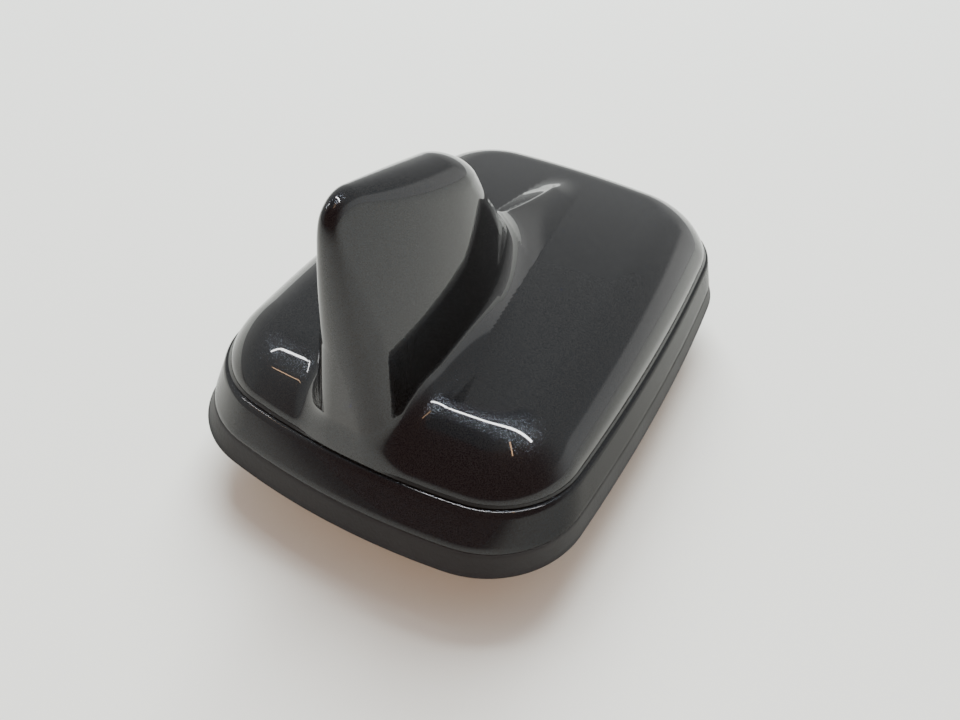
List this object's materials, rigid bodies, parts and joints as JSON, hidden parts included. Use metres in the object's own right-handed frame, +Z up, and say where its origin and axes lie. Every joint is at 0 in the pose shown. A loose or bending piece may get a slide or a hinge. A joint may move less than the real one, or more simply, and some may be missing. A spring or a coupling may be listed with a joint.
{
  "type": "car roof antenna",
  "caption": "Low car roof antenna: gloss cover with a rear fin on a rubber rim, cast base plate with a bolted foot through the roof and lead sockets underneath.",
  "frame": {"origin": "on the axis of the roof bolt's tapped hole, at the height of the roof under the seal", "axes": "+Y to the front of the car, +X to its right, +Z up and away from the roof"},
  "size_m": [0.0806, 0.115, 0.0713],
  "materials": {
    "black_paint": "black metallic paint under clear coat on moulded plastic",
    "seal_rubber": "matte dark grey rubber",
    "cast_plate": "as die-cast",
    "foam_rubber": "closed-cell foam",
    "screw_steel": "zinc plated",
    "board_laminate": "green solder mask",
    "tinned_sheet": "tinned sheet",
    "chip_resin": "moulded resin",
    "patch_ceramic": "fired, unglazed",
    "silver_face": "fired silver",
    "contact_brass": "bright",
    "red_socket": "moulded",
    "blue_socket": "moulded"
  },
  "bodies": {
    "root": {"cover": "black_paint", "roof_seal": "seal_rubber", "base_plate": "cast_plate", "foot_seal": "foam_rubber", "cover_screws": "screw_steel", "main_board": "board_laminate", "board_screws": "screw_steel", "shield_can": "tinned_sheet", "amplifier_chip": "chip_resin", "signal_filter": "tinned_sheet", "patch_antenna": "patch_ceramic", "patch_electrode": "silver_face", "patch_pin": "contact_brass", "foam_pad": "foam_rubber", "fin_board": "board_laminate", "fin_clip": "contact_brass", "fin_cap": "tinned_sheet", "phone_socket": "red_socket", "phone_contact": "contact_brass", "navigation_socket": "blue_socket", "navigation_contact": "contact_brass"}
  },
  "joints": []
}
